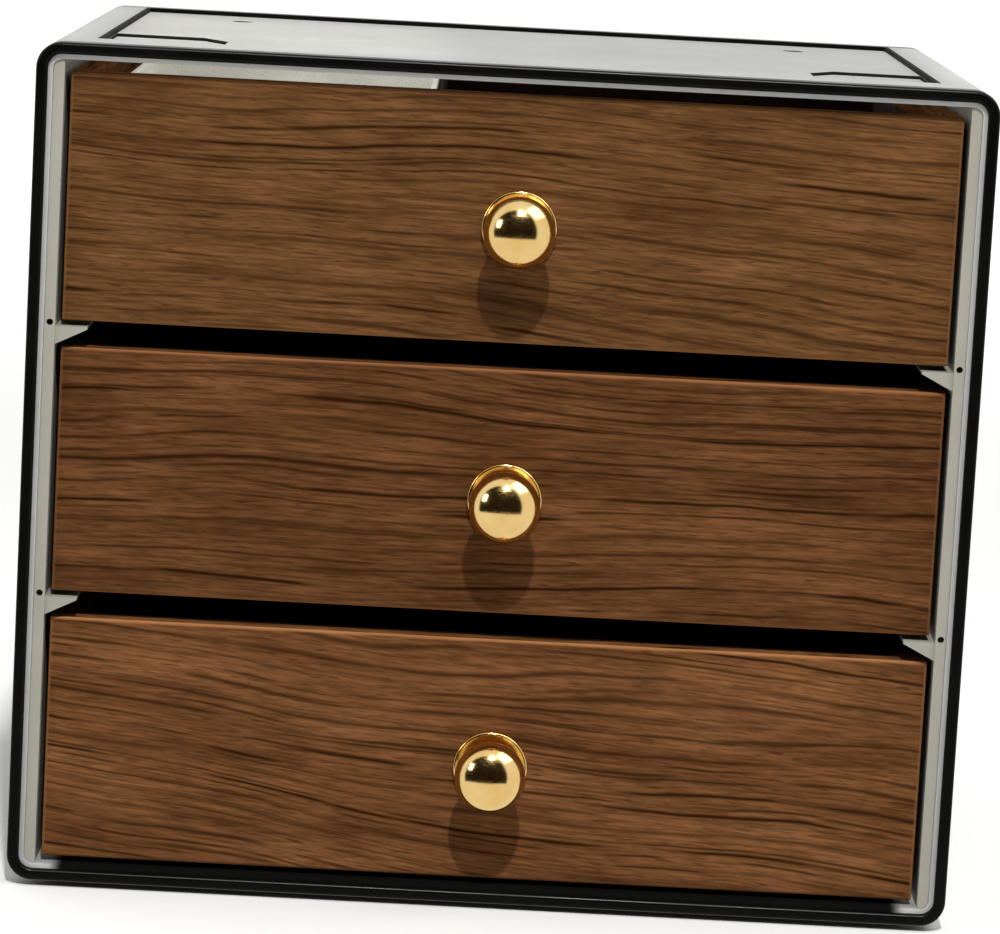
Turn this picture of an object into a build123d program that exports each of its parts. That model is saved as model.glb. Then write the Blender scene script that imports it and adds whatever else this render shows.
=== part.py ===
from build123d import *
import os

# Jewellery box with three drawers, in millimetres.
# +X is to the right, the front faces -Y, +Z is up.
# The origin is at the middle of the bottom of the whole box, knobs and feet included.

# Case
case_width = 240.0
corner_radius = 6.5

# Black rims at both ends, pushed over a thin lip of the case
rim_width = 3.0
rim_depth = 6.0
lip_thickness = 1.2
rim_ease = 0.9
lip_setback = 1.4
flange_thickness = 1.6
flange_reach = 9.0

# Back panel, trapped by the rear rim's flange
back_thickness = 2.5
plate_clearance = 0.1

# Recess in the top, with black side strips, corner pockets and dimples
recess_depth = 1.2
recess_inset = 13.0
recess_front = 23.0
strip_width = 1.0
pocket_depth = 0.9
pocket_width = 30.0
pocket_front = 2.0
pocket_length = 45.0
pocket_cut_width = 7.0
pocket_cut_length = 12.0
dimple_diameter = 6.0
dimple_depth = 0.8
dimple_inset = 42.0
dimple_before_rear = 31.0

# Feet, which match the pockets and dimples of a box below
foot_out = 1.5
foot_seat = 1.0
foot_clearance = 0.6
foot_ease = 0.4

# Side plates with the ledges that carry the drawers
panel_thickness = 2.75
panel_setback = 2.0
ledge_width = 8.0
ledge_clearance = 0.8
ledge_tip = 0.6
ledge_setback = 0.8
stop_width = 6.0
stop_height = 8.0
stop_length = 11.9
stop_clearance = 0.5
pinhole_diameter = 1.7
pinhole_depth = 5.0
pinhole_up = 1.0

# Countersunk screws of the side plates, with 90 degree heads
screw_diameter = 2.4
screw_head_diameter = 4.6
screw_head_angle = 90
screw_bite = 2.6
screw_clearance = 0.1
screw_columns = 2
screw_rows = 3
screw_spacing = 120.0

# Drawers
drawer_names = ["bottom", "middle", "top"]
drawer_height = 62.3
drawer_spacing = 6.8
top_gap = 3.3
drawer_depth = 166.0
drawer_recess = 4.5
drawer_gap = 1.35
front_thickness = 8.0
front_ease = 0.9
board = 7.5
board_ease = 0.5
base_thickness = 3.0
base_up = 4.0
groove_depth = 2.0
groove_clearance = 0.1
glide_thickness = 1.2
glide_clearance = 0.2
glide_inset = 6.0

# Knobs, a little to the right of the middle and a little below it
knob_right = 2.0
knob_drop = 2.0
ball_diameter = 18.0
ball_depth = 13.0
ball_reach = 12.2
neck_diameter = 8.0
rosette_diameter = 19.0
rosette_thickness = 2.0
rosette_ease = 0.6
knob_screw_diameter = 4.0
knob_screw_bite = 6.0
knob_screw_clearance = 0.2
knob_head_diameter = 8.0
knob_head_height = 2.4
slot_width = 1.0
slot_depth = 0.7

# Flocked trays
tray_wall = 1.6
tray_floor = 1.6
tray_drop = 5.0
tray_clearance = 0.4
tray_radius = 4.0
tray_lip_ease = 0.5
tray_division = 21.4

# Every cut runs past the face it opens by this much
overrun = 1.0

# Sizes of the case and its ledges that follow from the drawers
wall = rim_width + lip_thickness
carrier_height = glide_clearance + glide_thickness
drawer_pitch = drawer_height + drawer_spacing
stack_height = len(drawer_names) * drawer_pitch - drawer_spacing
case_height = 2 * wall + carrier_height + stack_height + top_gap
stop_end = drawer_recess + drawer_depth + stop_clearance + stop_length
case_depth = stop_end + back_thickness + flange_thickness
ledge_root = drawer_spacing - carrier_height - ledge_clearance

# Places along Y
knob_reach = ball_reach + ball_depth / 2
overall_depth = case_depth + knob_reach - drawer_recess
rear_y = overall_depth / 2
front_y = rear_y - case_depth
shell_front_y = front_y + lip_setback
shell_rear_y = rear_y - flange_thickness
sleeve_front_y = front_y + rim_depth
sleeve_rear_y = rear_y - rim_depth
panel_front_y = front_y + panel_setback
panel_rear_y = shell_rear_y - back_thickness
ledge_front_y = panel_front_y + ledge_setback
drawer_front_y = front_y + drawer_recess
board_front_y = drawer_front_y + front_thickness
drawer_rear_y = drawer_front_y + drawer_depth
bay_rear_y = drawer_rear_y - board
stop_front_y = drawer_rear_y + stop_clearance
recess_front_y = front_y + recess_front

# Places along Z
case_bottom = foot_out
case_top = case_bottom + case_height
case_middle = (case_bottom + case_top) / 2
floor_top = case_bottom + wall
recess_floor = case_top - recess_depth
ledge_tops = [floor_top + step * drawer_pitch for step in range(len(drawer_names))]
drawer_bottoms = [top + carrier_height for top in ledge_tops]
knob_heights = [bottom + drawer_height / 2 - knob_drop for bottom in drawer_bottoms]

# Places and sizes across X
inner_width = case_width - 2 * wall
inner_height = case_height - 2 * wall
inner_radius = corner_radius - wall
spigot_width = case_width - 2 * rim_width
spigot_height = case_height - 2 * rim_width
spigot_radius = corner_radius - rim_width
panel_face_x = inner_width / 2 - plate_clearance - panel_thickness
drawer_width = 2 * (panel_face_x - drawer_gap)
bay_width = drawer_width - 2 * board
recess_half = case_width / 2 - recess_inset
strip_face_x = recess_half - strip_width
dimple_x = case_width / 2 - dimple_inset
dimple_y = rear_y - dimple_before_rear
dimple_places = [(-dimple_x, dimple_y), (dimple_x, dimple_y)]
rear_foot_radius = (dimple_diameter - foot_clearance) / 2
sides = {"left": -1, "right": 1}

# Grid of screws on each side plate
screw_middle_y = (panel_front_y + panel_rear_y) / 2
screw_middle_z = drawer_bottoms[1] + drawer_height / 2
screw_grid = (screw_spacing, drawer_pitch, screw_columns, screw_rows)
screw_length = panel_thickness + plate_clearance + screw_bite
screw_head_height = (screw_head_diameter - screw_diameter) / 2

top_out = (Align.CENTER, Align.CENTER, Align.MAX)
root_in = (Align.CENTER, Align.CENTER, Align.MIN)
from_edge = (Align.CENTER, Align.MIN)
left_half = (Align.MAX, Align.CENTER)

os.makedirs("parts", exist_ok=True)


def facing(y, x=0, z=0):
    """Plane square to Y that faces the front: its x is X and its y is Z."""
    return Plane(origin=(x, y, z), x_dir=(1, 0, 0), z_dir=(0, -1, 0))


def behind(y, x=0, z=0):
    """Plane square to Y that faces the back."""
    return Plane(origin=(x, y, z), x_dir=(-1, 0, 0), z_dir=(0, 1, 0))


def screw_plane(side):
    """Inner face of a side plate, centred on its screws, facing into the case."""
    return Plane(
        origin=(side * panel_face_x, screw_middle_y, screw_middle_z),
        x_dir=(0, 1, 0),
        z_dir=(-side, 0, 0),
    )


def keep(piece, name):
    """Label a finished piece and write it as its own node."""
    piece.part.label = name
    export_step(piece.part, f"parts/{name}.step")


def pocket_points(clearance):
    """Outline of the right front pocket, drawn in by a clearance."""
    inner = strip_face_x - pocket_width + clearance
    outer = strip_face_x - clearance
    near = recess_front_y + pocket_front + clearance
    far = recess_front_y + pocket_front + pocket_length - clearance
    return [
        (inner, near),
        (outer, near),
        (outer, far),
        (inner + pocket_cut_width, far),
        (inner, far - pocket_cut_length),
    ]


# Case shell: a sleeve with a thin spigot at each end for the rims
with BuildPart() as case_shell:
    with BuildSketch(facing(sleeve_front_y, z=case_middle)):
        RectangleRounded(case_width, case_height, corner_radius)
    extrude(amount=sleeve_front_y - sleeve_rear_y)
    with BuildSketch(facing(shell_front_y, z=case_middle)):
        RectangleRounded(spigot_width, spigot_height, spigot_radius)
    extrude(amount=shell_front_y - shell_rear_y)
    with BuildSketch(facing(front_y, z=case_middle)):
        RectangleRounded(inner_width, inner_height, inner_radius)
    extrude(amount=-case_depth, mode=Mode.SUBTRACT)
    # Recess in the top, which runs back to the rear rim
    with BuildSketch(Plane.XY.offset(recess_floor)):
        with Locations((0, recess_front_y)):
            Rectangle(2 * recess_half, sleeve_rear_y - recess_front_y, align=from_edge)
    extrude(amount=recess_depth + overrun, mode=Mode.SUBTRACT)
    # Corner pockets and dimples in the floor of the recess
    with BuildSketch(Plane.XY.offset(recess_floor)):
        with BuildLine():
            Polyline(*pocket_points(0), close=True)
        make_face()
        mirror(about=Plane.YZ)
    extrude(amount=-pocket_depth, mode=Mode.SUBTRACT)
    with BuildSketch(Plane.XY.offset(recess_floor)):
        with Locations(*dimple_places):
            Circle(dimple_diameter / 2)
    extrude(amount=-dimple_depth, mode=Mode.SUBTRACT)
    # Seats of the feet in the underside
    with BuildSketch(Plane.XY.offset(case_bottom - overrun)):
        with BuildLine():
            Polyline(*pocket_points(foot_clearance), close=True)
        make_face()
        mirror(about=Plane.YZ)
        with Locations(*dimple_places):
            Circle(rear_foot_radius)
    extrude(amount=foot_seat + overrun, mode=Mode.SUBTRACT)
    # Screw holes in both side walls
    for side in sides.values():
        with Locations(screw_plane(side)):
            with GridLocations(*screw_grid):
                Hole(screw_diameter / 2 + screw_clearance, depth=screw_length + screw_clearance)
keep(case_shell, "case_shell")

# Front rim: a plain ring with eased front edges, pushed over the front spigot
with BuildPart() as front_rim:
    with BuildSketch(facing(front_y, z=case_middle)):
        RectangleRounded(case_width, case_height, corner_radius)
        RectangleRounded(spigot_width, spigot_height, spigot_radius, mode=Mode.SUBTRACT)
    extrude(amount=-rim_depth)
    fillet(front_rim.faces().sort_by(Axis.Y)[0].edges(), radius=rim_ease)
keep(front_rim, "front_rim")

# Rear rim: the same ring with a flange behind the back panel
with BuildPart() as rear_rim:
    with BuildSketch(facing(sleeve_rear_y, z=case_middle)):
        RectangleRounded(case_width, case_height, corner_radius)
    extrude(amount=-rim_depth)
    with BuildSketch(facing(sleeve_rear_y, z=case_middle)):
        RectangleRounded(spigot_width, spigot_height, spigot_radius)
    extrude(amount=sleeve_rear_y - shell_rear_y, mode=Mode.SUBTRACT)
    with BuildSketch(facing(sleeve_rear_y, z=case_middle)):
        RectangleRounded(
            case_width - 2 * flange_reach, case_height - 2 * flange_reach, spigot_radius
        )
    extrude(amount=-rim_depth, mode=Mode.SUBTRACT)
    fillet(rear_rim.faces().sort_by(Axis.Y)[-1].edges(), radius=rim_ease)
keep(rear_rim, "rear_rim")

# Back panel, inside the rear end of the sleeve
with BuildPart() as back_panel:
    with BuildSketch(facing(panel_rear_y, z=case_middle)):
        RectangleRounded(
            inner_width - 2 * plate_clearance,
            inner_height - 2 * plate_clearance,
            inner_radius - plate_clearance,
        )
    extrude(amount=-back_thickness)
keep(back_panel, "back_panel")

# Side plates, with a tapered ledge for each upper drawer and an end stop for every drawer
for side_name, side in sides.items():
    wall_face = side * panel_face_x
    ledge_edge = side * (panel_face_x - ledge_width)
    stop_middle = side * (panel_face_x - stop_width / 2)
    pinhole_x = side * (panel_face_x + panel_thickness / 2)

    with BuildPart() as runner_panel:
        with BuildSketch(facing(panel_front_y, z=case_middle)):
            RectangleRounded(
                inner_width - 2 * plate_clearance,
                inner_height - 2 * plate_clearance,
                inner_radius - plate_clearance,
            )
            with Locations((side * (panel_face_x - case_width / 2), 0)):
                Rectangle(case_width, case_height, mode=Mode.SUBTRACT)
        extrude(amount=panel_front_y - panel_rear_y)
        for top in ledge_tops[1:]:
            with BuildSketch(facing(ledge_front_y)):
                with BuildLine():
                    Polyline(
                        (wall_face, top),
                        (ledge_edge, top),
                        (ledge_edge, top - ledge_tip),
                        (wall_face, top - ledge_root),
                        close=True,
                    )
                make_face()
            extrude(amount=ledge_front_y - panel_rear_y)
        for top in ledge_tops:
            with BuildSketch(facing(stop_front_y)):
                with Locations((stop_middle, top)):
                    Rectangle(stop_width, stop_height, align=from_edge)
            extrude(amount=stop_front_y - panel_rear_y)
        # Pinholes in the front edge, just above each ledge
        for top in ledge_tops[1:]:
            with Locations(facing(panel_front_y, x=pinhole_x, z=top + pinhole_up)):
                Hole(pinhole_diameter / 2, depth=pinhole_depth)
        with Locations(screw_plane(side)):
            with GridLocations(*screw_grid):
                CounterSinkHole(
                    screw_diameter / 2 + screw_clearance,
                    screw_head_diameter / 2 + screw_clearance,
                    counter_sink_angle=screw_head_angle,
                )
    keep(runner_panel, f"{side_name}_runner_panel")

    with BuildPart() as panel_screws:
        with Locations(screw_plane(side)):
            with GridLocations(*screw_grid):
                Cylinder(screw_diameter / 2, screw_length, align=top_out)
                Cone(screw_diameter / 2, screw_head_diameter / 2, screw_head_height, align=top_out)
                Box(screw_head_diameter, slot_width, slot_depth, align=top_out, mode=Mode.SUBTRACT)
    keep(panel_screws, f"{side_name}_panel_screws")

    # Black strip along the side of the top recess, level with the top
    with BuildPart() as top_strip:
        with BuildSketch(Plane.XY.offset(recess_floor)):
            with Locations((side * (recess_half - strip_width / 2), recess_front_y)):
                Rectangle(strip_width, sleeve_rear_y - recess_front_y, align=from_edge)
        extrude(amount=recess_depth)
    keep(top_strip, f"top_strip_{side_name}")

# Feet: two long pads in front and two round pegs behind
with BuildPart() as front_feet:
    with BuildSketch(Plane.XY):
        with BuildLine():
            Polyline(*pocket_points(foot_clearance), close=True)
        make_face()
        mirror(about=Plane.YZ)
    extrude(amount=foot_out + foot_seat)
    fillet(front_feet.faces().group_by(Axis.Z)[0].edges(), radius=foot_ease)
keep(front_feet, "front_feet")

with BuildPart() as rear_feet:
    with BuildSketch(Plane.XY):
        with Locations(*dimple_places):
            Circle(rear_foot_radius)
    extrude(amount=foot_out + foot_seat)
    fillet(rear_feet.faces().group_by(Axis.Z)[0].edges(), radius=foot_ease)
keep(rear_feet, "rear_feet")


def cut_base_groove(bottom):
    """Cut the groove for the drawer's base out of the board that is being made."""
    with BuildSketch(Plane.XY.offset(bottom + base_up - groove_clearance)) as groove:
        with Locations((0, board_front_y - groove_depth - groove_clearance)):
            Rectangle(
                bay_width + 2 * groove_depth + 2 * groove_clearance,
                bay_rear_y - board_front_y + 2 * groove_depth + 2 * groove_clearance,
                align=from_edge,
            )
    extrude(groove.sketch, amount=base_thickness + 2 * groove_clearance, mode=Mode.SUBTRACT)


def make_boards(name, bottom, knob_z):
    """Front, sides, back and base of one drawer, with the hole for its knob."""
    with BuildPart() as front:
        with BuildSketch(facing(drawer_front_y, z=bottom)):
            Rectangle(drawer_width, drawer_height, align=from_edge)
        extrude(amount=-front_thickness)
        fillet(front.faces().sort_by(Axis.Y)[0].edges(), radius=front_ease)
        cut_base_groove(bottom)
        with Locations(behind(board_front_y, x=knob_right, z=knob_z)):
            CounterBoreHole(
                knob_screw_diameter / 2 + knob_screw_clearance,
                knob_head_diameter / 2 + knob_screw_clearance,
                knob_head_height + knob_screw_clearance,
            )
    keep(front, f"{name}_drawer_front")

    for side_name, side in sides.items():
        with BuildPart() as side_board:
            with BuildSketch(Plane.XY.offset(bottom)):
                with Locations((side * (drawer_width - board) / 2, board_front_y)):
                    Rectangle(board, drawer_rear_y - board_front_y, align=from_edge)
            extrude(amount=drawer_height)
            fillet(side_board.faces().sort_by(Axis.Z)[-1].edges().filter_by(Axis.Y), radius=board_ease)
            cut_base_groove(bottom)
        keep(side_board, f"{name}_drawer_{side_name}_side")

    with BuildPart() as back:
        with BuildSketch(Plane.XY.offset(bottom)):
            with Locations((0, bay_rear_y)):
                Rectangle(bay_width, board, align=from_edge)
        extrude(amount=drawer_height)
        fillet(back.faces().sort_by(Axis.Z)[-1].edges().filter_by(Axis.X), radius=board_ease)
        cut_base_groove(bottom)
    keep(back, f"{name}_drawer_back")

    with BuildPart() as base:
        with BuildSketch(Plane.XY.offset(bottom + base_up)):
            with Locations((0, board_front_y - groove_depth)):
                Rectangle(
                    bay_width + 2 * groove_depth,
                    bay_rear_y - board_front_y + 2 * groove_depth,
                    align=from_edge,
                )
        extrude(amount=base_thickness)
    keep(base, f"{name}_drawer_base")

    with BuildPart() as glides:
        with BuildSketch(Plane.XY.offset(bottom - glide_thickness)):
            for side in sides.values():
                with Locations((side * (drawer_width - board) / 2, board_front_y + glide_inset)):
                    Rectangle(board, drawer_rear_y - board_front_y - 2 * glide_inset, align=from_edge)
        extrude(amount=glide_thickness)
    keep(glides, f"{name}_drawer_glides")


def make_knob(name, knob_z):
    """Gold disc, flattened ball knob and the screw that holds them on one drawer's front."""
    seat_y = board_front_y - knob_head_height - knob_screw_clearance
    front_of_rosette_y = drawer_front_y - rosette_thickness
    ball_y = drawer_front_y - ball_reach

    with BuildPart(facing(drawer_front_y, x=knob_right, z=knob_z)) as rosette:
        Cylinder(rosette_diameter / 2, rosette_thickness, align=root_in)
        fillet(rosette.faces().sort_by(Axis.Y)[0].edges(), radius=rosette_ease)
        Hole(knob_screw_diameter / 2 + knob_screw_clearance)
    keep(rosette, f"{name}_drawer_rosette")

    # Half of the ball's and neck's outline, turned about the knob's axis
    with BuildPart() as knob:
        with BuildSketch(Plane(origin=(knob_right, ball_y, knob_z), x_dir=(1, 0, 0), z_dir=(0, 0, 1))):
            Ellipse(ball_diameter / 2, ball_depth / 2)
            Rectangle(neck_diameter, ball_reach - rosette_thickness, align=from_edge)
            Rectangle(ball_diameter, 2 * ball_reach, align=left_half, mode=Mode.SUBTRACT)
        revolve(axis=Axis((knob_right, ball_y, knob_z), (0, 1, 0)))
        with Locations(facing(front_of_rosette_y, x=knob_right, z=knob_z)):
            Cylinder(
                knob_screw_diameter / 2 + knob_screw_clearance,
                knob_screw_bite + knob_screw_clearance,
                align=root_in,
                mode=Mode.SUBTRACT,
            )
    keep(knob, f"{name}_drawer_knob")

    with BuildPart(facing(seat_y, x=knob_right, z=knob_z)) as knob_screw:
        Cylinder(
            knob_screw_diameter / 2,
            seat_y - front_of_rosette_y + knob_screw_bite,
            align=root_in,
        )
        Cylinder(knob_head_diameter / 2, knob_head_height, align=top_out)
        with Locations((0, 0, -knob_head_height)):
            Box(knob_head_diameter, slot_width, slot_depth, align=root_in, mode=Mode.SUBTRACT)
    keep(knob_screw, f"{name}_drawer_knob_screw")


def make_tray(name, bottom, left_x, right_x):
    """Open flocked tray that stands on a drawer's base between two places across X."""
    tray_bottom = bottom + base_up + base_thickness
    tray_height = drawer_height - tray_drop - base_up - base_thickness
    tray_width = right_x - left_x
    tray_length = bay_rear_y - board_front_y - 2 * tray_clearance
    middle = ((left_x + right_x) / 2, (board_front_y + bay_rear_y) / 2)

    with BuildPart() as tray:
        with BuildSketch(Plane.XY.offset(tray_bottom)):
            with Locations(middle):
                RectangleRounded(tray_width, tray_length, tray_radius)
        extrude(amount=tray_height)
        with BuildSketch(Plane.XY.offset(tray_bottom + tray_floor)):
            with Locations(middle):
                RectangleRounded(
                    tray_width - 2 * tray_wall,
                    tray_length - 2 * tray_wall,
                    tray_radius - tray_wall,
                )
        extrude(amount=tray_height, mode=Mode.SUBTRACT)
        fillet(tray.faces().sort_by(Axis.Z)[-1].edges(), radius=tray_lip_ease)
    keep(tray, name)


bay_left = tray_clearance - bay_width / 2
bay_right = bay_width / 2 - tray_clearance

for name, bottom, knob_z in zip(drawer_names, drawer_bottoms, knob_heights):
    make_boards(name, bottom, knob_z)
    make_knob(name, knob_z)

# The top drawer holds a cream tray on the left and a dark one beside it,
# divided to the left of the knob
cream_right = -tray_division
for name, bottom in zip(drawer_names[:-1], drawer_bottoms[:-1]):
    make_tray(f"{name}_drawer_tray", bottom, bay_left, bay_right)
make_tray("top_drawer_cream_tray", drawer_bottoms[-1], bay_left, cream_right)
make_tray("top_drawer_dark_tray", drawer_bottoms[-1], cream_right + tray_clearance, bay_right)
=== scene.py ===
import math

import bpy
from mathutils import Matrix, Vector


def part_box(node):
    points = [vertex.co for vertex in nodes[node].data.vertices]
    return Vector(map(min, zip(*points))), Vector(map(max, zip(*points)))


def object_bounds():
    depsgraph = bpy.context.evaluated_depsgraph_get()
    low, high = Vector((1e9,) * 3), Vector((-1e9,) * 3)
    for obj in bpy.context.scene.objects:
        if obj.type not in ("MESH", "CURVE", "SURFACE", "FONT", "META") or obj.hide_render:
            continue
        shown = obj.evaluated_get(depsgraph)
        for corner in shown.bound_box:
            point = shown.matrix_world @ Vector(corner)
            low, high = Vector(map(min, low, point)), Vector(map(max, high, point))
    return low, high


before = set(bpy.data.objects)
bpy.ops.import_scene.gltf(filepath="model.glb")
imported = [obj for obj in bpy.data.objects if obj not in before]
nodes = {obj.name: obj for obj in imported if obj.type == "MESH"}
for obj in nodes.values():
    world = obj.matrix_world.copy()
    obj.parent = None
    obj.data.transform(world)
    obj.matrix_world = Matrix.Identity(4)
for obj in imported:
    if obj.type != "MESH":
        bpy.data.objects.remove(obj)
cad_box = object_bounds()

# Lengths are in metres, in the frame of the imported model
MM = 0.001

# Drawers from the bottom up, as the nodes are named
DRAWERS = ["bottom", "middle", "top"]

# Camera, measured from the front of the case
CAMERA_X = -7.7 * MM
CAMERA_DISTANCE = 1100 * MM
CAMERA_Z = 283.2 * MM
CAMERA_PITCH = math.radians(-8.72)
CAMERA_YAW = math.radians(0.42)
CAMERA_ROLL = math.radians(3.09)
IMAGE_WIDTH_PX = 1000
FOCAL_PX = 4425
SENSOR_MM = 36.0

FRONT_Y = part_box("front_rim")[0].y
MOUTH_FLOOR_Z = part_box("left_runner_panel")[0].z
PEG_LOW, PEG_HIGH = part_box("rear_feet")
DIMPLE_X = PEG_HIGH.x - (PEG_HIGH.y - PEG_LOW.y) / 2
DIMPLE_Y = (PEG_HIGH.y + PEG_LOW.y) / 2
RECESS_FLOOR_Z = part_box("top_strip_left")[0].z
RECESS_HALF_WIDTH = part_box("top_strip_right")[0].x


class Finish:
    """A new material with a Principled shader, and short calls for the nodes that the finishes share."""

    def __init__(self, name, **constants):
        self.material = bpy.data.materials.new(name)
        self.material.use_nodes = True
        self.tree = self.material.node_tree
        self.shader = self.tree.nodes["Principled BSDF"]
        for socket, value in constants.items():
            self.shader.inputs[socket.replace("_", " ")].default_value = value

    def node(self, kind, **settings):
        made = self.tree.nodes.new(kind)
        for key, value in settings.items():
            setattr(made, key, value)
        return made

    def feed(self, socket, value):
        """Link an output to a socket, or set a constant on it."""
        if isinstance(value, bpy.types.NodeSocket):
            self.tree.links.new(value, socket)
        else:
            socket.default_value = value

    def drive(self, name, value):
        self.feed(self.shader.inputs[name], value)

    def place(self):
        """Place on the object, in metres."""
        return self.node("ShaderNodeTexCoord").outputs["Object"]

    def map(self, vector, scale=(1, 1, 1), offset=(0, 0, 0), rotation=(0, 0, 0)):
        made = self.node("ShaderNodeMapping")
        self.feed(made.inputs["Vector"], vector)
        made.inputs["Location"].default_value = offset
        made.inputs["Rotation"].default_value = rotation
        made.inputs["Scale"].default_value = scale
        return made.outputs["Vector"]

    def noise(self, vector, scale=1.0, detail=2.0, roughness=0.5):
        made = self.node("ShaderNodeTexNoise")
        self.feed(made.inputs["Vector"], vector)
        made.inputs["Scale"].default_value = scale
        made.inputs["Detail"].default_value = detail
        made.inputs["Roughness"].default_value = roughness
        return made.outputs["Fac"]

    def chance(self, value):
        """A fixed random number from 0 to 1 for each value."""
        made = self.node("ShaderNodeTexWhiteNoise", noise_dimensions="1D")
        self.feed(made.inputs["W"], value)
        return made.outputs["Value"]

    def math(self, operation, first, second=0.0):
        made = self.node("ShaderNodeMath", operation=operation)
        self.feed(made.inputs[0], first)
        self.feed(made.inputs[1], second)
        return made.outputs[0]

    def fit(self, value, low, high, to_low=0.0, to_high=1.0):
        """Carry a value from one range to another, smoothly, and keep it there."""
        made = self.node("ShaderNodeMapRange", interpolation_type="SMOOTHSTEP")
        self.feed(made.inputs["Value"], value)
        for name, number in (
            ("From Min", low),
            ("From Max", high),
            ("To Min", to_low),
            ("To Max", to_high),
        ):
            made.inputs[name].default_value = number
        return made.outputs["Result"]

    def ramp(self, value, *stops):
        made = self.node("ShaderNodeValToRGB")
        self.feed(made.inputs["Fac"], value)
        elements = made.color_ramp.elements
        while len(elements) < len(stops):
            elements.new(0.5)
        for element, (place, colour) in zip(elements, stops):
            element.position = place
            element.color = (*colour, 1.0)
        return made.outputs["Color"]

    def mix(self, factor, first, second, blend="MIX"):
        made = self.node("ShaderNodeMix", data_type="RGBA", blend_type=blend)
        self.feed(made.inputs[0], factor)
        self.feed(made.inputs[6], first)
        self.feed(made.inputs[7], second)
        return made.outputs[2]

    def axis(self, vector, name):
        split = self.node("ShaderNodeSeparateXYZ")
        self.feed(split.inputs[0], vector)
        return split.outputs[name]

    def distance(self, value, middle):
        return self.math("ABSOLUTE", self.math("SUBTRACT", value, middle))

    def bump(self, height, distance, strength=1.0):
        made = self.node("ShaderNodeBump")
        self.feed(made.inputs["Height"], height)
        made.inputs["Distance"].default_value = distance
        made.inputs["Strength"].default_value = strength
        self.drive("Normal", made.outputs["Normal"])

    def let_through(self, shade, share):
        """Let a share of the light pass through the surface, scattered and tinted."""
        through = self.node("ShaderNodeBsdfTranslucent")
        self.feed(through.inputs["Color"], shade)
        blend = self.node("ShaderNodeMixShader")
        blend.inputs[0].default_value = share
        self.feed(blend.inputs[1], self.shader.outputs[0])
        self.feed(blend.inputs[2], through.outputs[0])
        self.feed(self.tree.nodes["Material Output"].inputs["Surface"], blend.outputs[0])


def colour(red, green, blue):
    """Linear colour of a shade given as it shows on a screen, from 0 to 255."""

    def linear(level):
        level /= 255
        return level / 12.92 if level <= 0.04045 else ((level + 0.055) / 1.055) ** 2.4

    return linear(red), linear(green), linear(blue)


def scaled(shade, factor):
    return tuple(min(1.0, level * factor) for level in shade)


# One log for each drawer: where in it the boards were cut, how far its rings sway across
# the grain and how they slope, and its streaks, darker ground and lighter ground
LOGS = {
    "top": {
        "offset": (0.3, 0.1, 0.4),
        "sway": 12 * MM,
        "slope": math.radians(-2.6),
        "tones": (colour(33, 16, 5), colour(65, 41, 22), colour(97, 66, 39)),
    },
    "middle": {
        "offset": (1.7, 0.6, 1.3),
        "sway": 8 * MM,
        "slope": math.radians(-0.8),
        "tones": (colour(31, 15, 4), colour(62, 37, 20), colour(94, 61, 36)),
    },
    "bottom": {
        "offset": (3.1, 1.2, 2.6),
        "sway": 14 * MM,
        "slope": math.radians(-4.6),
        "tones": (colour(34, 17, 5), colour(73, 44, 25), colour(108, 72, 43)),
    },
}

# Rings of three sizes: spacing, width of the dark late wood, length of its streaks and how dark they are
RINGS = (
    (4.7 * MM, 1.0 * MM, 60 * MM, 1.0),
    (3.3 * MM, 0.65 * MM, 34 * MM, 0.8),
    (1.3 * MM, 0.5 * MM, 18 * MM, 0.4),
)

# Size of the patches in the wood, along the grain and across it
SWAY_PATCH = (150 * MM, 60 * MM)
RIPPLE_PATCH = (36 * MM, 8 * MM)
TONE_PATCH = (45 * MM, 9 * MM)
FIBRE_PATCH = (8 * MM, 0.8 * MM)
PORE_PATCH = (6 * MM, 0.5 * MM)

RIPPLE = 1.3 * MM
RING_DEPTH_SHARE = 0.6
WOOD_RELIEF = 0.05 * MM
FIBRE_RELIEF_SHARE = 0.5
PORE_SHARE = 0.5
# Paler front edges, partly wear and partly a painted highlight: width of the band, its share on the front
# face, and how much paler
EDGE_WEAR_AND_HIGHLIGHT = 1.0 * MM
EDGE_WEAR_AND_HIGHLIGHT_SHARE = 0.75
EDGE_PALENESS = 1.8


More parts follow.
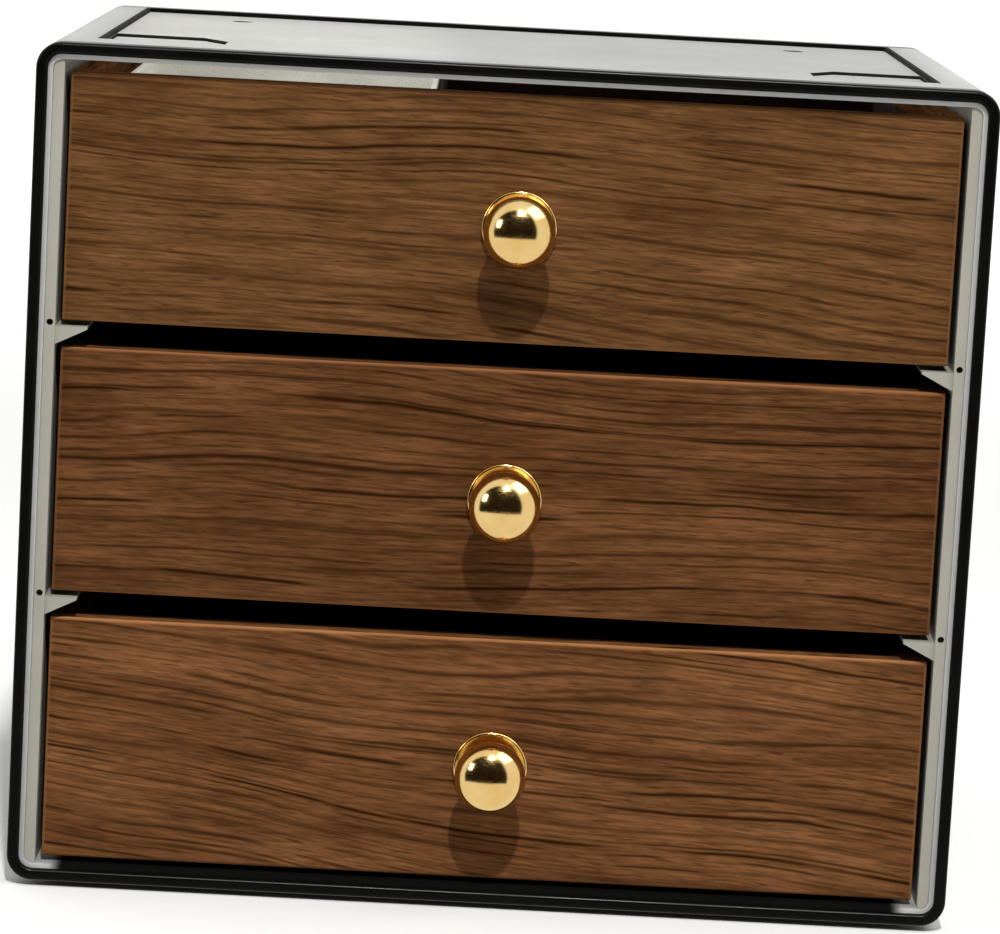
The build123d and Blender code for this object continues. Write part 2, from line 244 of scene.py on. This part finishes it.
def walnut(name, along, log, worn_and_highlit_board=None):
    """Walnut with its grain along X or Y, and on a board whose box is given, paler front edges: partly wear,
    partly painted highlight.
    """
    finish = Finish(name, Roughness=0.4, Specular_IOR_Level=0.0)
    place = finish.place()
    turn = math.pi / 2 if along == "Y" else 0.0
    grown = finish.map(place, offset=log["offset"], rotation=(0, log["slope"], turn))

    def grain(length, height, detail=2.0, roughness=0.5):
        """Noise with patches of one length along the grain and another across it."""
        return finish.noise(
            finish.map(grown, (1 / length, 1 / height, 1 / height)), 1.0, detail, roughness
        )

    def swayed(height, noise, reach):
        sway = finish.math("MULTIPLY", finish.fit(noise, 0.2, 0.8, -0.5, 0.5), reach)
        return finish.math("ADD", height, sway)

    # Rings are level lines of a height that sways along the grain
    depth = finish.math("MULTIPLY", finish.axis(grown, "Y"), RING_DEPTH_SHARE)
    height = finish.math("ADD", finish.axis(grown, "Z"), depth)
    height = swayed(height, grain(*SWAY_PATCH, detail=1.0), log["sway"])
    height = swayed(height, grain(*RIPPLE_PATCH), RIPPLE)

    def lines(spacing, width, length):
        """Dark late wood of each ring, broken into streaks, stronger in some rings than in others."""
        ring = finish.math("DIVIDE", height, spacing)
        within = finish.distance(finish.math("FRACT", ring), 0.5)
        line = finish.fit(within, 0.0, width / spacing, 1.0, 0.0)
        strength = finish.fit(finish.chance(finish.math("FLOOR", ring)), 0.0, 0.8, 0.55, 1.0)
        broken = finish.fit(grain(length, spacing), 0.4, 0.55)
        return finish.math("MULTIPLY", finish.math("MULTIPLY", line, strength), broken)

    pores = finish.fit(grain(*PORE_PATCH, detail=1.0), 0.58, 0.72)
    fibres = grain(*FIBRE_PATCH, detail=3.0, roughness=0.65)
    patches = grain(*TONE_PATCH, detail=3.0, roughness=0.6)

    dark, middle, light = log["tones"]
    ground = finish.ramp(patches, (0.25, middle), (0.75, light))
    ground = finish.mix(1.0, ground, finish.fit(fibres, 0.25, 0.75, 0.72, 1.28), "MULTIPLY")
    shade = finish.math("MULTIPLY", pores, PORE_SHARE)
    for spacing, width, length, strength in RINGS:
        streaks = finish.math("MULTIPLY", lines(spacing, width, length), strength)
        shade = finish.math("MAXIMUM", shade, streaks)
    wood = finish.mix(shade, ground, (*dark, 1))
    # Paler front edges: partly wear, partly a painted highlight where the eased edges catch the light
    if worn_and_highlit_board:
        low, high = worn_and_highlit_board
        middle_place = (low + high) / 2
        half = (high - low) / 2
        across = finish.distance(finish.axis(place, "X"), middle_place.x)
        upright = finish.distance(finish.axis(place, "Z"), middle_place.z)
        edge = finish.math(
            "MAXIMUM",
            finish.fit(across, half.x - EDGE_WEAR_AND_HIGHLIGHT, half.x),
            finish.fit(upright, half.z - EDGE_WEAR_AND_HIGHLIGHT, half.z),
        )
        front = finish.fit(
            finish.axis(place, "Y"), low.y + EDGE_WEAR_AND_HIGHLIGHT / 2, low.y + EDGE_WEAR_AND_HIGHLIGHT, EDGE_WEAR_AND_HIGHLIGHT_SHARE, 0.0
        )
        worn_and_highlit = scaled(light, EDGE_PALENESS)
        wood = finish.mix(finish.math("MULTIPLY", edge, front), wood, (*worn_and_highlit, 1))
    finish.drive("Base Color", wood)
    finish.drive("Roughness", finish.fit(shade, 0.0, 1.0, 0.36, 0.55))
    raised = finish.math("MULTIPLY", fibres, FIBRE_RELIEF_SHARE)
    finish.bump(finish.math("SUBTRACT", raised, pores), WOOD_RELIEF, 0.4)
    return finish.material


# Moulded plastic: scale of its mottling and of its spark-eroded grain
MOTTLE_SCALE = 45
MOULD_GRAIN_SCALE = 2600


def moulded(name, shade, spread, roughness, shine=0.5, grain=0.03):
    """Moulded plastic: a fine spark-eroded grain, faint mottling and uneven gloss."""
    finish = Finish(name, Roughness=roughness, Specular_IOR_Level=shine)
    place = finish.place()
    cloud = finish.noise(place, scale=MOTTLE_SCALE, detail=3.0)
    finish.drive(
        "Base Color",
        finish.ramp(cloud, (0.3, scaled(shade, 1 - spread)), (0.7, scaled(shade, 1 + spread))),
    )
    finish.drive("Roughness", finish.fit(cloud, 0.3, 0.7, roughness - 0.05, roughness + 0.06))
    finish.bump(finish.noise(place, scale=MOULD_GRAIN_SCALE, detail=1.0), grain * MM, 0.35)
    return finish.material


# Case plastic: its shade, the painted shade for its pockets, mouth floor and dimples, and the share of light
# that goes through each face
FROST_SHADE = colour(223, 223, 221)
FROST_PAINTED_SHADE = colour(30, 30, 27)
FROST_SHARE = 0.74
FROST_GRAIN = 0.03 * MM

# Where painted shade darkens the case: on the pocket walls, by their depth below the recess floor, on the
# floor of the mouth, by its height, and in a dot in each dimple, by its half size and depth. A pair is the
# two ends of a soft change.
POCKET_BOTTOM = (1.6 * MM, 1.2 * MM)
POCKET_TOP = 0.1 * MM
POCKET_SIDE = 1.0 * MM
MOUTH_FLOOR_TOP = (0.1 * MM, 0.4 * MM)
MOUTH_FLOOR_SIDE = 4 * MM
DOT_WIDTH = (1.4 * MM, 2.2 * MM)
DOT_LENGTH = (1.8 * MM, 2.6 * MM)
DOT_BOTTOM = (2 * MM, 1 * MM)


def frosted(name):
    """Pale frosted plastic that lets light through, with painted shade on its pocket walls, on the floor of
    its mouth and in its dimples.
    """
    finish = Finish(name, Roughness=0.42, Specular_IOR_Level=0.15)
    place = finish.place()
    cloud = finish.noise(place, scale=MOTTLE_SCALE, detail=3.0)
    plain = finish.ramp(cloud, (0.3, scaled(FROST_SHADE, 0.97)), (0.7, scaled(FROST_SHADE, 1.03)))
    # Painted shade on the upright pocket walls below the recess floor, which lie in shade
    normal = finish.node("ShaderNodeNewGeometry").outputs["Normal"]
    upright = finish.fit(finish.distance(finish.axis(normal, "Z"), 0.0), 0.3, 0.6, 1.0, 0.0)
    height = finish.axis(place, "Z")
    sunk = finish.math(
        "MULTIPLY",
        finish.fit(height, *(RECESS_FLOOR_Z - below for below in POCKET_BOTTOM)),
        finish.fit(height, RECESS_FLOOR_Z - POCKET_TOP, RECESS_FLOOR_Z, 1.0, 0.0),
    )
    across = finish.distance(finish.axis(place, "X"), 0.0)
    within = finish.fit(across, RECESS_HALF_WIDTH, RECESS_HALF_WIDTH + POCKET_SIDE, 1.0, 0.0)
    corner = finish.math("MULTIPLY", finish.math("MULTIPLY", upright, sunk), within)
    # Painted shade on the floor of the mouth, under the bottom drawer, which lies in shade
    floor = finish.math(
        "MULTIPLY",
        finish.fit(height, *(MOUTH_FLOOR_Z + above for above in MOUTH_FLOOR_TOP), 1.0, 0.0),
        finish.fit(across, RECESS_HALF_WIDTH, RECESS_HALF_WIDTH + MOUTH_FLOOR_SIDE, 1.0, 0.0),
    )
    # Painted shade: a dark dot in each dimple, standing for the shade inside it
    dimple_shade = finish.math(
        "MULTIPLY",
        finish.fit(finish.distance(across, DIMPLE_X), *DOT_WIDTH, 1.0, 0.0),
        finish.fit(finish.distance(finish.axis(place, "Y"), DIMPLE_Y), *DOT_LENGTH, 1.0, 0.0),
    )
    on_top = finish.fit(height, *(RECESS_FLOOR_Z - below for below in DOT_BOTTOM))
    dimple_shade = finish.math("MULTIPLY", dimple_shade, on_top)
    # Painted shade: the case colour is mixed to the dark shade over the pocket walls, mouth floor and dimple
    # dots
    painted_shade = finish.math("MAXIMUM", finish.math("MAXIMUM", corner, dimple_shade), floor)
    shade = finish.mix(painted_shade, plain, (*FROST_PAINTED_SHADE, 1))
    finish.drive("Base Color", shade)
    finish.drive("Roughness", finish.fit(cloud, 0.3, 0.7, 0.38, 0.48))
    finish.bump(finish.noise(place, scale=MOULD_GRAIN_SCALE, detail=1.0), FROST_GRAIN, 0.3)
    finish.let_through(shade, FROST_SHARE)
    return finish.material


# Depth of the relief of the other finishes
WIPE_MARK_DEPTH = 0.004 * MM
ZINC_GRAIN_DEPTH = 0.01 * MM
NAP_DEPTH = 0.2 * MM
CHIP_DEPTH = 0.06 * MM


def polished_gold(name):
    """Polished plating with hair-fine wiping marks."""
    finish = Finish(name, Metallic=1.0, Roughness=0.08)
    place = finish.place()
    cloud = finish.noise(place, scale=160, detail=2.0)
    finish.drive(
        "Base Color",
        finish.ramp(cloud, (0.3, colour(238, 197, 122)), (0.7, colour(247, 212, 144))),
    )
    marks = finish.noise(finish.map(place, (900, 900, 5200)), detail=2.0)
    finish.drive("Roughness", finish.fit(marks, 0.35, 0.75, 0.1, 0.18))
    finish.bump(marks, WIPE_MARK_DEPTH, 0.15)
    return finish.material


def zinc(name):
    """Zinc-plated steel of the screws."""
    finish = Finish(name, Metallic=1.0, Roughness=0.35)
    place = finish.place()
    cloud = finish.noise(place, scale=700, detail=3.0)
    finish.drive(
        "Base Color",
        finish.ramp(cloud, (0.3, colour(150, 150, 148)), (0.7, colour(196, 196, 192))),
    )
    finish.drive("Roughness", finish.fit(cloud, 0.3, 0.7, 0.25, 0.45))
    finish.bump(cloud, ZINC_GRAIN_DEPTH, 0.3)
    return finish.material


def flock(name, shade, sheen):
    """Short flocked nap with a soft sheen and brushed patches."""
    finish = Finish(
        name, Roughness=0.95, Sheen_Weight=sheen, Sheen_Roughness=0.4, Specular_IOR_Level=0.0
    )
    place = finish.place()
    nap = finish.noise(place, scale=3200, detail=1.0)
    brushed = finish.noise(finish.map(place, (40, 18, 40)), detail=3.0)
    base = finish.ramp(brushed, (0.3, scaled(shade, 0.82)), (0.7, scaled(shade, 1.12)))
    finish.drive("Base Color", finish.mix(1.0, base, finish.fit(nap, 0.25, 0.75, 0.88, 1.06), "MULTIPLY"))
    finish.bump(nap, NAP_DEPTH, 0.6)
    return finish.material


def pressed_board(name):
    """Thin pressed fibre board of the drawer bases."""
    finish = Finish(name, Roughness=0.7)
    place = finish.place()
    chips = finish.noise(place, scale=520, detail=4.0, roughness=0.7)
    finish.drive(
        "Base Color",
        finish.ramp(chips, (0.3, colour(104, 76, 50)), (0.7, colour(146, 112, 78))),
    )
    finish.bump(chips, CHIP_DEPTH, 0.4)
    return finish.material


def dress(material, *names):
    for name in names:
        piece = nodes[name]
        piece.data.materials.clear()
        piece.data.materials.append(material)


def dress_nodes():
    black = moulded("black_plastic", colour(5, 5, 3), 0.2, 0.3, shine=0.1)
    rubber = moulded("black_rubber", colour(10, 10, 8), 0.15, 0.75, shine=0.12, grain=0.06)
    glide = moulded("white_glide", colour(226, 226, 220), 0.03, 0.35)
    steel = zinc("zinc_steel")

    inner = moulded("grey_plastic", colour(132, 129, 119), 0.05, 0.4)
    dress(frosted("frosted_plastic"), "case_shell")
    dress(inner, "back_panel", "left_runner_panel", "right_runner_panel")
    dress(black, "front_rim", "rear_rim")
    dress(rubber, "front_feet", "rear_feet", "top_strip_left", "top_strip_right")
    dress(steel, "left_panel_screws", "right_panel_screws")
    dress(flock("cream_flock", colour(249, 245, 236), 0.3), "top_drawer_cream_tray")
    dress(
        flock("dark_flock", colour(26, 16, 13), 0.04),
        "top_drawer_dark_tray",
        "middle_drawer_tray",
        "bottom_drawer_tray",
    )
    gold = polished_gold("polished_gold")
    board = pressed_board("pressed_board")
    for drawer in DRAWERS:
        log = LOGS[drawer]
        front = f"{drawer}_drawer_front"
        dress(walnut(f"walnut_{drawer}_front", "X", log, worn_and_highlit_board=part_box(front)), front)
        dress(walnut(f"walnut_{drawer}_back", "X", log), f"{drawer}_drawer_back")
        dress(
            walnut(f"walnut_{drawer}_sides", "Y", log),
            f"{drawer}_drawer_left_side",
            f"{drawer}_drawer_right_side",
        )
        dress(board, f"{drawer}_drawer_base")
        dress(glide, f"{drawer}_drawer_glides")
        dress(gold, f"{drawer}_drawer_knob", f"{drawer}_drawer_rosette")
        dress(steel, f"{drawer}_drawer_knob_screw")


def add_camera():
    """Camera at the photograph's place, which looks slightly down and is rolled."""
    data = bpy.data.cameras.new("camera")
    data.sensor_width = SENSOR_MM
    data.lens = SENSOR_MM * FOCAL_PX / IMAGE_WIDTH_PX
    data.clip_end = 50
    camera = bpy.data.objects.new("camera", data)
    forward = Vector(
        (
            math.sin(CAMERA_YAW) * math.cos(CAMERA_PITCH),
            math.cos(CAMERA_YAW) * math.cos(CAMERA_PITCH),
            math.sin(CAMERA_PITCH),
        )
    )
    right = Vector((math.cos(CAMERA_YAW), -math.sin(CAMERA_YAW), 0))
    up = right.cross(forward)
    rolled_right = right * math.cos(CAMERA_ROLL) + up * math.sin(CAMERA_ROLL)
    rolled_up = up * math.cos(CAMERA_ROLL) - right * math.sin(CAMERA_ROLL)
    turned = Matrix((rolled_right, rolled_up, -forward)).transposed().to_4x4()
    place = Vector((CAMERA_X, FRONT_Y - CAMERA_DISTANCE, CAMERA_Z))
    camera.matrix_world = Matrix.Translation(place) @ turned
    bpy.context.scene.collection.objects.link(camera)
    bpy.context.scene.camera = camera


# Floor: half its width, and the ring in which it grows paler out of the painted shade close to the object
FLOOR_HALF_WIDTH = 14.0
FLOOR_PALE_FROM = 0.5
FLOOR_PALE_TO = 2.0


def add_floor():
    """Pale paper floor, a little greyer close to the object: painted shade there, which also holds down the
    light it throws onto the front.
    """
    mesh = bpy.data.meshes.new("floor")
    size = FLOOR_HALF_WIDTH
    corners = [(-size, -size, 0), (size, -size, 0), (size, size, 0), (-size, size, 0)]
    mesh.from_pydata(corners, [], [(0, 1, 2, 3)])
    floor = bpy.data.objects.new("floor", mesh)
    bpy.context.scene.collection.objects.link(floor)
    finish = Finish("floor_paper", Roughness=0.9, Specular_IOR_Level=0.1)
    place = finish.place()
    away = finish.node("ShaderNodeVectorMath", operation="LENGTH")
    finish.feed(away.inputs[0], place)
    # Painted shade: the floor is greyer within the ring close to the object
    pale = finish.fit(away.outputs["Value"], FLOOR_PALE_FROM, FLOOR_PALE_TO)
    tone = finish.ramp(pale, (0.0, colour(188, 188, 186)), (1.0, colour(246, 246, 245)))
    speck = finish.fit(finish.noise(place, scale=300, detail=2.0), 0.3, 0.7, 0.985, 1.0)
    finish.drive("Base Color", finish.mix(1.0, tone, speck, "MULTIPLY"))
    floor.data.materials.append(finish.material)
    floor.visible_glossy = False


def add_light(name, kind, power):
    data = bpy.data.lights.new(name, kind)
    data.energy = power
    lamp = bpy.data.objects.new(name, data)
    lamp.visible_camera = False
    bpy.context.scene.collection.objects.link(lamp)
    return lamp


def add_soft_box(name, azimuth, elevation, distance, width, height, power):
    """Soft box that faces the middle of the front. Azimuth 0 is straight in front, positive to the right."""
    aim = Vector((0, FRONT_Y, (cad_box[0].z + cad_box[1].z) / 2))
    turn = math.radians(azimuth)
    rise = math.radians(elevation)
    out = Vector(
        (math.sin(turn) * math.cos(rise), -math.cos(turn) * math.cos(rise), math.sin(rise))
    )
    lamp = add_light(name, "AREA", power)
    lamp.data.shape = "RECTANGLE"
    lamp.data.size = width
    lamp.data.size_y = height
    lamp.location = aim + out * distance
    lamp.rotation_mode = "QUATERNION"
    lamp.rotation_quaternion = (-out).to_track_quat("-Z", "Y")


# The dark opening of the light tent: its middle and half its spread, its sill, how soft its edge is,
# and the brightness of the tent and of the opening
OPENING_AZIMUTH = math.radians(-14)
OPENING_ELEVATION = math.radians(3)
OPENING_SPREAD = math.radians(54)
OPENING_SILL = math.radians(-12)
OPENING_EDGE = math.radians(7)
TENT_SHADE = (0.88, 0.88, 0.88, 1)
OPENING_SHADE = (0.015, 0.01, 0.006, 1)


def add_world():
    """Inside of a white light tent that is open towards the camera, down to a sill."""
    world = bpy.data.worlds.new("light_tent")
    world.use_nodes = True
    tree = world.node_tree
    place = tree.nodes.new("ShaderNodeTexCoord")
    near = tree.nodes.new("ShaderNodeVectorMath")
    near.operation = "DOT_PRODUCT"
    near.inputs[1].default_value = (
        math.sin(OPENING_AZIMUTH) * math.cos(OPENING_ELEVATION),
        -math.cos(OPENING_AZIMUTH) * math.cos(OPENING_ELEVATION),
        math.sin(OPENING_ELEVATION),
    )
    within = tree.nodes.new("ShaderNodeMapRange")
    within.interpolation_type = "SMOOTHSTEP"
    within.inputs["From Min"].default_value = math.cos(OPENING_SPREAD + OPENING_EDGE)
    within.inputs["From Max"].default_value = math.cos(OPENING_SPREAD)
    split = tree.nodes.new("ShaderNodeSeparateXYZ")
    above = tree.nodes.new("ShaderNodeMapRange")
    above.interpolation_type = "SMOOTHSTEP"
    above.inputs["From Min"].default_value = math.sin(OPENING_SILL - OPENING_EDGE / 3)
    above.inputs["From Max"].default_value = math.sin(OPENING_SILL)
    opening = tree.nodes.new("ShaderNodeMath")
    opening.operation = "MULTIPLY"
    tone = tree.nodes.new("ShaderNodeValToRGB")
    white, dark = tone.color_ramp.elements
    white.color = TENT_SHADE
    dark.color = OPENING_SHADE
    for source, target in (
        (place.outputs["Generated"], near.inputs[0]),
        (near.outputs["Value"], within.inputs["Value"]),
        (place.outputs["Generated"], split.inputs[0]),
        (split.outputs["Z"], above.inputs["Value"]),
        (within.outputs["Result"], opening.inputs[0]),
        (above.outputs["Result"], opening.inputs[1]),
        (opening.outputs[0], tone.inputs["Fac"]),
        (tone.outputs["Color"], tree.nodes["Background"].inputs["Color"]),
    ):
        tree.links.new(source, target)
    bpy.context.scene.world = world


def add_ceiling(strength, spread):
    """Wide light from straight above, even over the whole floor."""
    lamp = add_light("ceiling", "SUN", strength)
    lamp.data.angle = math.radians(spread)
    lamp.visible_glossy = False


dress_nodes()
add_camera()
add_floor()
add_world()
add_ceiling(strength=1.3, spread=100)
add_soft_box("key", azimuth=3.5, elevation=53, distance=2.5, width=0.08, height=0.08, power=80)
add_soft_box("right_box", azimuth=71, elevation=53, distance=1.6, width=1.2, height=0.9, power=10)
add_soft_box("left_box", azimuth=-58, elevation=20, distance=1.6, width=0.4, height=0.45, power=3)
bpy.context.scene.view_settings.view_transform = "Standard"
